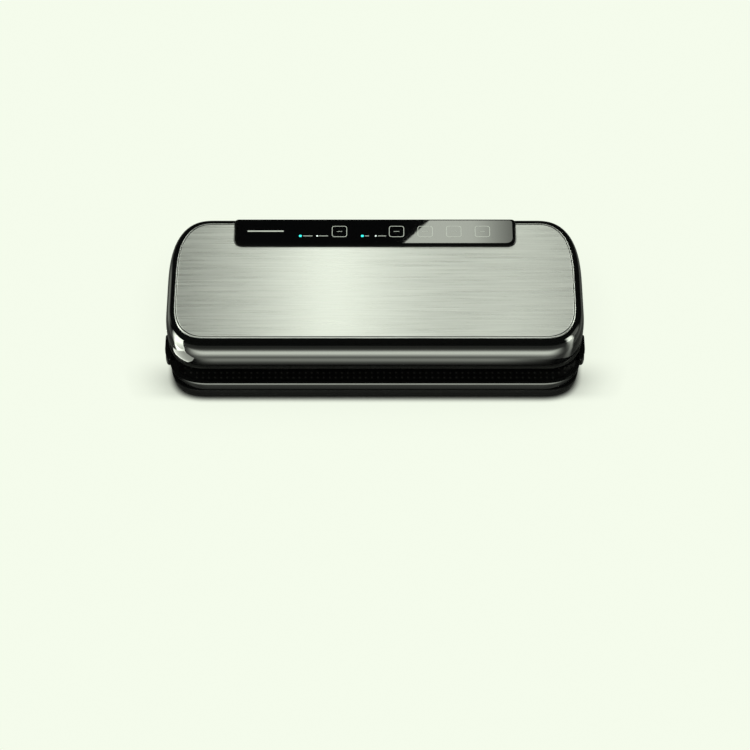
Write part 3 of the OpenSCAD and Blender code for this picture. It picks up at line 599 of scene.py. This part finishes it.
def strip_rows(grow, lift, depth, chamfer):
    """The dotted strip as rows across the ledge, from front to back."""
    front, back, corner = -80.1 - grow, -64.5 + grow, 34.1 + grow
    ys = [front, front + 0.35] + [front + 0.35 + (12.1 - 0.35 + grow) * i / 9 for i in range(1, 10)]
    ys += [-66.2, back - 0.35, back]
    loops = []
    for i, y in enumerate(ys):
        inside = max(0.0, 1 - ((-46.0 - y) / corner) ** POWER)
        half = 149.2 + corner * inside ** (1 / POWER)
        top, low = ledge(y) + lift, ledge(y) - depth
        c = chamfer
        edge = c if i in (0, len(ys) - 1) else 0.0
        loops.append([(-half, y, low), (-half, y, top - c), (-half + c, y, top - edge),
                      (half - c, y, top - edge), (half, y, top - c), (half, y, low)])
    verts, faces = loft([[(y, z, x) for x, y, z in loop] for loop in loops])
    return [(z, x, y) for x, y, z in verts], faces


deck_profile = [(-1.0, SPLIT_Z), (-0.9, 13.9), (-0.9, 14.5), (-0.95, 17.5), (-1.0, 20.2),
                (-1.15, 21.2), (-1.4, 22.1), (-1.6, 22.5), (-1.9, 22.62), (-2.4, 22.57)]


def between(a, b, k):
    """An outline part of the way from one to another."""
    if isinstance(a, tuple):
        return tuple(between(p, q, k) for p, q in zip(a, b))
    return a + (b - a) * k


deck_shell = loft(
    [at(outline(between(BASE, BASE_TOP, (z - SPLIT_Z) / (RIM_Z - SPLIT_Z)), t), z)
     for t, z in curve(deck_profile, 3)] + rings(DECK, [(0, DECK_Z)]))
hook_hole = box((167.9, -47.4, 20), (174.9, -34.6, 25))
ears = []
for x0, x1 in ((108, 114), (136, 142)):
    ears += [rod("x", x0, x1, (0, *HINGE), 4.5), box((x0, 75, 18), (x1, 84, 28.5))]
ears += [box((106, 76, 14.6), (144, 84, 23.9))]
deck = piece(
    "base_deck_skin", [deck_shell],
    cut=[slab(BASE, -3.6, 13.1, 19.8), slab(DECK, -3, 19, 21.5)],
    join=both(*ears, box((181.4, -59.5, SPLIT_Z), (185.2, -24.5, 22))) + [
        box((-153.9, -60.4, 16.5), (153.9, -47.6, 22))]
    + at_places(BASE_SCREWS, lambda x, y: post(x, y, SPLIT_Z, 22, 4)),
    drill=[box((-152.4, -58.9, 18), (152.4, -49.1, 25)), slab(RING, 2.2, 22.5, 25),
           slab(TRAY, 0.3, 13, 25), slab(OPENING, 0, 19, 25), strip_rows(0.15, 3, 0.85, 0.001),
           post(-30, 67.75, 10, 25, 1.7), inlet_hollow(12.6, 20.2)]
    + wells() + both(hook_hole, rod("x", 105, 145, (0, *HINGE), 2.5),
                     box((173.4, -50.4, 17.1), (184.6, -31.6, 20.4)))
    + at_places(BASE_SCREWS, lambda x, y: post(x, y, 10, 18.5, 1.35))
    + at_places(((162, 4.5), (162, 57.5)), lambda x, y: post(x, y, 10, 25, 1.6)),
    node="base_deck")
finish_as(deck, "black_gloss")

DOT_PROFILE = [(0.95, -0.3), (0.95, 0.12), (0.8, 0.28), (0.45, 0.38), (0.1, 0.4)]
DOT_PITCH = 5.5
dots = []
for row, count in ((-66.3, 32), (-71.6, 32), (-76.7, 30)):
    z = ledge(row)
    dot = lathe("z", (0, 0, z), DOT_PROFILE, 14)
    dots += [moved(dot, s * DOT_PITCH * (i + 0.5), row) for i in range(count) for s in (-1, 1)]
strip = piece("grip_strip_skin", [strip_rows(0, 0, 0.8, 0.25)], node="grip_strip")
finish_as(strip, "grip_rubber")
# The dots take a paler copy of the strip's rubber: painted sheen.
finish_as(piece("grip_strip_dots", dots), "grip_rubber", "grip_dot_painted_sheen")


def foam(name, z0, z1, body, node, flip=1):
    r = 0.9
    section = [(0, z0), (0, z1 - r), (-r * 0.3, z1 - r * 0.3), (-r, z1), (-4.5 + r, z1),
               (-4.5 + r * 0.3, z1 - r * 0.3), (-4.5, z1 - r), (-4.5, z0)]
    if flip < 0:
        section = [(t, z0 + z1 - z) for t, z in section][::-1]
    obj = piece(name, [loft(rings(RING, section), closed=True)], body=body, node=node, sharp=50)
    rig.padded(obj, fill=0.9)
    return finish_as(obj, "foam")


foam("lower_foam", DECK_Z, 26.3, "base", "lower_gasket")
foam("upper_foam", 26.6, GROOVE_Z, "lid", "upper_gasket", -1)

section = [(-4.5, 28.5), (-4.5, 27.3), (-4.0, 26.6), (-3.0, 26.3), (3.0, 26.3), (4.0, 26.6),
           (4.5, 27.3), (4.5, 28.5), (1.5, 28.5), (1.5, 29.9), (-1.5, 29.9), (-1.5, 28.5)]
loops = []
for x, k in ((-151, 0.7), (-150.3, 0.93), (-149.4, 1), (149.4, 1), (150.3, 0.93), (151, 0.7)):
    loops.append([(x, BAR_Y + y * k, 28.5 + (z - 28.5) * (k if z < 28.5 else 1)) for y, z in section])
strip_pad = piece("pressure_strip_skin", [loft(loops)], body="lid", node="pressure_strip", sharp=40)
finish_as(strip_pad, "silicone")


# ---- Release buttons ----

def button_face(inset, x):
    """A slice of the button: its front end follows the base round the corner."""
    y0, y1, z0, z1 = -56.5 + inset, -27.5 - inset, 11 + inset, 23.6 - inset
    points = [(y0, z0 + 4.6), (y0 + 0.4, z0 + 3.2), (y0 + 2.8, z0 + 0.6), (y0 + 4, z0),
              (-48, z0), (-44, z0), (y1 - 2.4, z0), (y1 - 0.6, z0 + 0.6), (y1, z0 + 2.4),
              (y1, z1 - 2.4), (y1 - 0.6, z1 - 0.6), (y1 - 2.4, z1), (-44, z1), (-48, z1), (y0 + 4, z1),
              (y0 + 2.4, z1), (y0 + 0.6, z1 - 0.6), (y0, z1 - 2.4)]
    return [(x - max(0, x - 187) / 6 * 3.2 * (max(0, -43 - y) / 13.5) ** 2, y, z) for y, z in points]


button = loft([button_face(i, x) for i, x in
               ((0.3, 186.9), (0, 187.3), (0, 191.8), (0.18, 192.4), (0.5, 192.8), (1.1, 193.0))])
stem = [box((165, -50, 17.5), (187.4, -32, 20)), box((179.8, -51.5, 15.5), (181.2, -30.5, 19.4)),
        box((165, -45, 10), (167, -37, 17.6))]
window = box((168.4, -47.5, 16.5), (177.5, -34.5, 21))
for side, flip in (("right", lambda s: s), ("left", mirrored)):
    obj = piece(f"{side}_button_skin", [flip(s) for s in stem], cut=[flip(window)],
                join=[flip(button)], body=f"{side}_button", node=f"release_button_{side}", sharp=35)
    finish_as(obj, "black_gloss")
    helix = [(156.4 + 8.2 * i / 120, HOOK_Y + 2.6 * math.cos(math.tau * 5 * i / 120),
              13.5 + 2.6 * math.sin(math.tau * 5 * i / 120)) for i in range(121)]
    spring = raw(f"{side}_spring_coil", [flip(tube(helix, 0.35, 8, (1, 0, 0)))])
    settle(spring, 60)
    sign = 1 if side == "right" else -1
    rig.blend(spring, "base", f"{side}_button", (sign * 0.1565, 0, 0), (sign * 0.1645, 0, 0))
    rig.replaces(spring, f"button_spring_{side}")
    finish_as(spring, "steel")


# ---- Lid ----

shell_profile = [(4.4, GROOVE_Z), (5.4, 28.75), (6.3, 29.5), (7.2, 32), (7.85, 35.5), (8.0, 40),
                 (8.0, 44), (7.8, 48), (7.0, 54), (6.1, 57.7), (5.0, 60.1), (3.8, 61.5),
                 (2.6, 62.15), (1.4, 62.35), (0.25, 62.4)]
hollow = [(1.9, 58.5), (1.9, 54), (5, 54), (5, 33), (1.9, 33), (1.9, GROOVE_Z)]
knuckle = [rod("x", 114.3, 135.7, (0, *HINGE), 4.2), box((114.3, 75.3, 28.5), (135.7, 80.1, 37.5))]
bay = box((107, 73.9, 27), (143, 92, 34.5))
shell = piece(
    "lid_shell_skin",
    [loft(rings(LID, hollow + curve(shell_profile, 4) + [(0.15, BED_Z)]))],
    cut=both(bay), join=both(*knuckle), drill=both(rod("x", 113, 137, (0, *HINGE), 2.55)),
    body="lid", node="lid_shell")
finish_as(shell, "black_gloss")

frame_profile = [(7.0, 25.5), (7.35, 25.75), (7.5, 26.3), (7.5, 27.0), (7.2, 27.6), (6.0, 28.15),
                 (4.4, 28.5)]
slot_box = box((-150.2, -55.6, 27), (150.2, -52.4, 30))
rim = piece(
    "lid_frame_skin",
    [loft(rings(LID, curve(frame_profile, 3)
                + [(1.7, 28.5), (1.7, 31.5), (0.2, 31.5), (0.2, 28.5)]))],
    join=[box((-167, -61.2, 28.4), (167, 69.5, 31))],
    drill=[box((-165, -59.5, 24), (165, 66.5, 28.5)), slab(WELL, 0, 24, 34), slot_box]
    + both(box((107, 73.9, 24), (143, 92, 34)), box((170.9, -45.1, 24), (174.1, -36.9, 29.5)))
    + at_places(LID_SCREWS, lambda x, y: lathe(
        "z", (x, y, 0), [(2.8, 24), (2.8, 27.1), (1.5, 27.11), (1.5, 28.5), (4.2, 28.51), (4.2, 33)])),
    body="lid", node="lid_frame")
# The lid frame takes the paler copy of its satin finish: painted light.
finish_as(rim, "black_satin", "satin_rim_painted_lighter")

plate_profile = [(0, BED_Z), (0, 61.95), (-0.25, 62.4), (-0.7, 62.82), (-1.15, 62.98), (-1.25, 62.9),
                 (-1.3, 62.05), (-2.1, 62.05), (-2.15, 62.92), (-2.3, PLATE_Z)]
bezel_gap = slab(BEZEL, 0.25, 60, 65)
plate = piece("top_plate_skin", [loft(rings(LID, plate_profile))], cut=[bezel_gap],
              body="lid", node="top_plate", sharp=20)
layer = plate.data.uv_layers.new(name="brush")
for loop in plate.data.loops:
    co = plate.data.vertices[loop.vertex_index].co
    layer.data[loop.index].uv = (co.y * 2 + 0.5, co.x * 2 + 0.5)
finish_as(plate, "steel_plate")
seam_section = [(-1.32, 62.2), (-1.32, 62.8), (-2.08, 62.8), (-2.08, 62.2)]
seam = piece("plate_seam", [loft(rings(LID, seam_section), closed=True)],
             cut=[bezel_gap], body="lid")
finish_as(seam, "black_satin")

bezel_profile = [(0, 60.5), (0, 63.0), (-0.12, 63.7), (-0.5, 64.5), (-1.0, 65.0), (-1.6, 65.26),
                 (-2.2, 65.3), (-2.75, 65.3), (-2.85, 65.2), (-2.88, 64.1)]
bezel = piece("panel_bezel_skin", [loft(rings(BEZEL, bezel_profile))], body="lid",
              node="panel_bezel")
finish_as(bezel, "black_gloss")
glass = piece("panel_glass_skin",
              [loft(rings(GLASS, [(0, 64.1), (0, 65.15), (-0.1, 65.36), (-0.35, GLASS_Z)]))],
              body="lid", node="panel_glass", sharp=12)
finish_as(glass, "glass")


def frame_mark(x, y, w, h, line, r=3.0):
    outer = (w / 2, y - h / 2, y + h / 2, (r, r), (r, r))
    loops = rings(outer, [(0, GLASS_Z), (0, INK_Z), (-line, INK_Z), (-line, GLASS_Z)])
    return moved(loft(loops, closed=True), x)


def dash(x0, x1, y, h, r=0.3):
    plan = ((x1 - x0) / 2, y - h / 2, y + h / 2, (r, r), (r, r))
    return moved(slab(plan, 0, GLASS_Z - 0.1, INK_Z), (x0 + x1) / 2)


MARKS = (-33, 20, 46.6, 73.2, 99.8)
key_marks = []
for x in MARKS:
    key_marks.append(frame_mark(x, MARK_Y, 14, 13, 0.5))
    key_marks.append(dash(x - 2.6, x + 2.6, MARK_Y, 0.5))
marks = piece("touch_marks_skin", key_marks, body="lid", node="touch_marks", sharp=60)
finish_as(marks, "ink")



def printed(name, shapes, slot, look=None):
    return finish_as(piece(name, shapes, body="lid", sharp=60), slot, look)


# Plain dashes and one bar stand for the labels and the mark, which are left out.
printed("status_dashes", [dash(a, b, LABEL_Y, 0.6)
                          for a, b in ((-66.8, -58), (-52, -43.6), (-9.3, -5.6), (2.8, 10.3))], "ink")
printed("status_windows_cyan", [dash(x - 1.3, x + 1.3, LABEL_Y, 2.5, 1.2) for x in (-69.3, -11.7)], "lamp")
printed("status_windows_white", [dash(x - 0.8, x + 0.8, LABEL_Y, 1.3, 0.5) for x in (-53.6, 0.7)],
        "lamp", "lamp_white")
printed("badge_bar", [dash(-118.5, -84.8, BADGE_Y, 1.4, 0.6)], "ink")

lead_path = [(-92, 40, 14), (-80, 48, 14), (-60, 57, 14), (-40, 64, 14.5), (-31, 67.4, 18),
             (-30, 67.75, 24), (-30, 67.75, 34), (-30.5, 67.4, 44), (-34, 65.5, 51),
             (-44, 62.5, 54.5), (-54, 60, 57), (-56, 60, 61.2)]
lead = settle(raw("panel_lead_tube", [tube(curve(lead_path, 6), 1.2, 12)]), 60)
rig.blend(lead, "base", "lid", (-0.03, 0.0677, 0.026), (-0.03, 0.0677, 0.044))
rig.replaces(lead, "panel_lead")
finish_as(lead, "black_lead")


# ---- Camera, floor and light ----

camera = bpy.data.objects.new("camera", bpy.data.cameras.new("camera"))
camera.location = (0, -1.4677, 1.9416)
camera.rotation_euler = (math.radians(36), 0, 0)
camera.data.lens = 124.8
camera.data.sensor_width = 36
camera.data.clip_start, camera.data.clip_end = 0.05, 60
ALL.objects.link(camera)
bpy.context.scene.camera = camera
bpy.context.scene.view_settings.view_transform = "Standard"

PALE = (0.939, 1.0, 0.863)
world = bpy.data.worlds.new("studio")
bpy.context.scene.world = world
world.use_nodes = True
n = Nodes(world.node_tree)
n.add("OutputWorld", {0: n.add("Background", {0: (*PALE, 1), 1: 1.0}).outputs[0]})
world.cycles_visibility.glossy = False


def sheet_of(name, corners, uvs=((0, 0), (1, 0), (1, 1), (0, 1))):
    mesh = bpy.data.meshes.new(name)
    mesh.from_pydata(corners, [], [(0, 1, 2, 3)])
    layer = mesh.uv_layers.new(name="edges")
    for loop, uv in zip(mesh.loops, uvs):
        layer.data[loop.index].uv = uv
    obj = bpy.data.objects.new(name, mesh)
    ALL.objects.link(obj)
    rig.stage(obj)
    return obj


# From here on lengths are in metres. The floor glows evenly, with painted shadow in its glow: painted contact shadow
# close to the object and a wider painted shadow beside the front of the base.
floor = sheet_of("floor", [(-9, -9, 0), (9, -9, 0), (9, 9, 0), (-9, 9, 0)])
look = bpy.data.materials.new("floor")
look.use_nodes = True
n = Nodes(look.node_tree)
# Painted contact shadow: the glow darkens where ambient occlusion finds the object within 9 mm.
near = n.add("AmbientOcclusion", {"Distance": 0.009}, samples=24).outputs[1]
near = n.add("MapRange", {0: near, 1: 0.4, 2: 0.93, 3: 0.01, 4: 1.0},
             interpolation_type="SMOOTHSTEP")
far = n.add("AmbientOcclusion", {"Distance": 0.045}, samples=24).outputs[1]
# Painted side shadow: a wider, fainter darkening from ambient occlusion, only in a band of y beside the front of the
# base.
along = n.add("SeparateXYZ", {0: n.place()}).outputs[1]
beside = [n.add("MapRange", {0: along, 1: a, 2: b, 3: 0.0, 4: 1.0},
                interpolation_type="SMOOTHSTEP").outputs[0]
          for a, b in ((-0.035, -0.068), (-0.089, -0.077))]
beside = n.add("Math", {0: beside[0], 1: beside[1]}, operation="MULTIPLY").outputs[0]
deep = n.spread(beside, 0.93, 0.58, 0.0, 1.0)
far = n.add("MapRange", {0: far, 1: 0.62, 2: 1.0, 3: deep, 4: 0.97}, interpolation_type="LINEAR")
shade = n.add("Math", {0: near.outputs[0], 1: far.outputs[0]}, operation="MULTIPLY").outputs[0]
glow = n.add("Emission", {0: (*PALE, 1), 1: shade})
n.add("OutputMaterial", {0: glow.outputs[0]})
floor.data.materials.append(look)
floor.visible_glossy = False

GROUPS = {}
for key in ("plate", "glass", "gloss", "lid"):
    GROUPS[key] = bpy.data.collections.new("seen_by_" + key)


def soft_edges(n, u, v, su, sv):
    """One in the middle of a card, falling to nothing at its edges."""
    out = None
    for value, soft in ((u, su), (v, sv)):
        for flip in (False, True):
            x = n.add("Math", {0: 1.0, 1: value}, operation="SUBTRACT").outputs[0] if flip else value
            if soft[flip]:
                x = n.add("MapRange", {0: x, 1: 0.0, 2: soft[flip], 3: 0.0, 4: 1.0},
                          interpolation_type="SMOOTHSTEP").outputs[0]
                out = x if out is None else n.add(
                    "Math", {0: out, 1: x}, operation="MULTIPLY").outputs[0]
    return out


def card(name, corners, strength, group, su=(0.2, 0.2), sv=(0.2, 0.2), ramp=None, axis=0,
         uvs=((0, 0), (1, 0), (1, 1), (0, 1))):
    """A light card that only reflections of one group of pieces see."""
    obj = sheet_of(name, corners, uvs)
    made = bpy.data.materials.new(name)
    made.use_nodes = True
    n = Nodes(made.node_tree)
    uv = n.add("SeparateXYZ", {0: n.add("UVMap").outputs[0]}).outputs
    cover = soft_edges(n, uv[0], uv[1], su, sv)
    level = strength
    if ramp:
        line = n.add("ValToRGB", {0: uv[axis]})
        stops = line.color_ramp.elements
        while len(stops) < len(ramp):
            stops.new(0.5)
        for stop, (place, value) in zip(stops, ramp):
            stop.position, stop.color = place, (value, value, value, 1)
        line.color_ramp.interpolation = "B_SPLINE" if axis == 0 else "LINEAR"
        level = n.add("Math", {0: line.outputs[0], 1: strength}, operation="MULTIPLY").outputs[0]
    light = n.add("Emission", {0: (*PALE, 1), 1: level}).outputs[0]
    if cover is not None:
        clear = n.add("BsdfTransparent").outputs[0]
        light = n.add("MixShader", {0: cover, 1: clear, 2: light}).outputs[0]
    n.add("OutputMaterial", {0: light})
    made.cycles.emission_sampling = "NONE"
    obj.data.materials.append(made)
    obj.visible_camera = obj.visible_diffuse = obj.visible_shadow = False
    obj.visible_transmission = obj.visible_volume_scatter = False
    obj.light_linking.receiver_collection = GROUPS[group]
    return obj


for name, obj in list(bpy.data.objects.items()):
    if obj.type == "MESH" and not obj.get("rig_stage"):
        group = {"top_plate_skin": "plate", "panel_glass_skin": "glass"}.get(name, "gloss")
        GROUPS[group].objects.link(obj)
        if name == "lid_shell_skin":
            GROUPS["lid"].objects.link(obj)


def dome(name, radius, strength, group):
    """The upper half of a ball of even light, seen only in reflections."""
    verts, faces = loft([[(radius * math.cos(e) * math.cos(a), radius * math.cos(e) * math.sin(a),
                           radius * math.sin(e))
                          for a in (math.tau * k / 32 for k in range(32))]
                         for e in (math.radians(9.5 * i) for i in range(10))])
    obj = card(name, [(0, 0, 0), (1, 0, 0), (1, 1, 0), (0, 1, 0)], strength, group, (0, 0), (0, 0))
    mesh = bpy.data.meshes.new(name)
    mesh.from_pydata(verts, [], faces[:-2] + faces[-1:])
    mesh.materials.append(obj.data.materials[0])
    obj.data = mesh
    return obj


def flat(x0, x1, y0, y1, z):
    return [(x0, y0, z), (x1, y0, z), (x1, y1, z), (x0, y1, z)]


def upright(a, b, z0, z1):
    """Corners of a card that stands between two points of the floor."""
    return [(*a, z0), (*b, z0), (*b, z1), (*a, z1)]


# The plate sees a wide card above and behind it, brightest left of the middle. A slit in
# the card lets the glass see past it.
dome("plate_dome", 3.5, 0.7, "plate")
ACROSS = [(0.0, 0.1), (0.345, 0.1), (0.37, 0.36), (0.40, 0.56), (0.435, 0.66), (0.465, 1.6),
          (0.495, 0.82), (0.53, 0.64), (0.575, 0.54), (0.60, 0.68), (0.615, 0.72), (0.64, 0.5),
          (0.66, 0.34), (1.0, 0.14)]


def ceiling(name, y0, y1, sv):
    z0, z1 = (0.62 - 0.397 * (y - 0.12) for y in (y0, y1))
    card(name, [(-0.75, y0, z0), (0.75, y0, z0), (0.75, y1, z1), (-0.75, y1, z1)], 3.2, "plate",
         (0.1, 0.1), sv, [(place, level / 2) for place, level in ACROSS])


ceiling("plate_card_front", 0.12, 0.396, (0.2, 0))
ceiling("plate_card_back", 0.436, 0.80, (0, 0.2))
for side in (-1, 1):
    card(f"plate_side_{side}", upright((side * 1.7, -0.5), (side * 1.7, 2.0), 0.05, 1.9), 4.0,
         "plate", (0.2, 0.2), (0, 0.2))
card("plate_front", flat(-1.2, 1.2, -2.2, -0.35, 2.7), 2.2, "plate")
card("plate_dark", upright((-1.5, -2.4), (1.5, -2.4), -0.4, 1.5), 0.05, "plate", (0, 0), (0, 0.2))
# The glass sees the slanting edge of a light box that fades out to the right.
card("glass_card", [(0.0303, 0.71, 0.9), (0.226, 0.71, 0.9), (0.226, 0.79, 0.9), (0.1002, 0.79, 0.9)],
     8.7, "glass", (0, 0), (0, 0),
     [(0.0, 1.0), (0.5, 1.0), (0.62, 0.72), (0.74, 0.42), (0.85, 0.2), (1.0, 0.12)],
     uvs=((0, 0), (1, 0), (1, 1), (0.357, 1)))
# The gloss mouldings see a bright strip on the floor in front and a light box at each side.
card("floor_gleam", flat(-0.9, 0.9, -0.9, 0.9, 0.0004), 0.4, "gloss", (0.45, 0.45), (0.45, 0.45))
# A dark sheet under and just in front of the object, seen only in the gloss mouldings' reflections: painted shadow on
# the reflected floor.
card("floor_dark", flat(-0.24, 0.24, -0.085, 0.13, 0.0006), 0.1, "gloss", (0, 0), (0, 0))
STRIP = (-0.220, -0.085)
ALONG = [(-0.220, 0.2), (-0.180, 0.45), (-0.158, 0.85), (-0.145, 2.2), (-0.138, 6.2), (-0.132, 10.0),
         (-0.1275, 9.8), (-0.122, 7.0), (-0.115, 4.2), (-0.108, 2.3), (-0.104, 1.4), (-0.1005, 1.2),
         (-0.099, 0.45), (-0.096, 0.45), (-0.094, 0.25), (-0.089, 0.3), (-0.085, 0.1)]
card("front_strip", flat(-0.235, 0.235, *STRIP, 0.001), 10.0, "gloss", (0.16, 0.16), (0, 0),
     [((y - STRIP[0]) / (STRIP[1] - STRIP[0]), level / 10) for y, level in ALONG], 1)
LEDGE = (-0.0836, -0.066)
NEAR = [(-0.0836, 1.9), (-0.0817, 2.5), (-0.0799, 2.4), (-0.0784, 1.5), (-0.076, 0.7), (-0.0728, 0.3),
        (-0.070, 0.08), (-0.066, 0.02)]
card("ledge_gleam", flat(-0.172, 0.172, *LEDGE, 0.0247), 2.5, "lid", (0.08, 0.2), (0, 0),
     [((y - LEDGE[0]) / (LEDGE[1] - LEDGE[0]), level / 2.5) for y, level in NEAR], 1)
card("left_ledge", [(-0.1700, -0.0800, 0.0249), (-0.1740, -0.058, 0.0249), (-0.1940, -0.050, 0.0249),
                    (-0.1940, -0.0800, 0.0249)], 3.6, "lid", (0, 0), (0, 0))
card("left_box", upright((-0.2201, -0.0974), (-0.238, -0.040), 0.002, 0.067), 22.0, "lid",
     (0, 0.5), (0, 0), [(0.0, 0.3), (0.2, 0.5), (0.5, 0.95), (1.0, 1.0)], 1)
card("left_floor", [(-0.186, -0.086, 0.0012), (-0.262, -0.122, 0.0012), (-0.262, -0.045, 0.0012),
                    (-0.186, -0.055, 0.0012)], 19.0, "lid", (0, 0), (0, 0.45),
     [(0.0, 0.2), (0.17, 0.28), (0.3, 0.45), (0.45, 0.62), (0.66, 1.0), (1.0, 1.0)])
card("right_box", upright((0.41, -0.085), (0.35, -0.215), 0.002, 0.23), 20.0, "lid",
     (0.4, 0.4), (0, 0.2))
card("right_side", upright((0.45, 0.06), (0.415, -0.088), 0.002, 0.3), 1.6, "lid", (0.5, 0), (0, 0.3))
card("left_side", upright((-0.28, -0.02), (-0.28, 0.12), 0.002, 0.12), 1.4, "lid", (0.3, 0.3), (0, 0.4))
card("right_floor", [(0.190, -0.088, 0.0012), (0.38, -0.225, 0.0012), (0.41, -0.080, 0.0012),
                     (0.190, -0.058, 0.0012)], 12.0, "lid", (0, 0), (0.35, 0.45),
     [(0.0, 0.04), (0.12, 0.1), (0.3, 0.35), (0.6, 0.7), (1.0, 1.0)])

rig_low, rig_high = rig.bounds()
with open("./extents.json", "w") as out:
    json.dump({"cad": [list(cad_low), list(cad_high)], "visual": [list(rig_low), list(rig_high)]}, out)
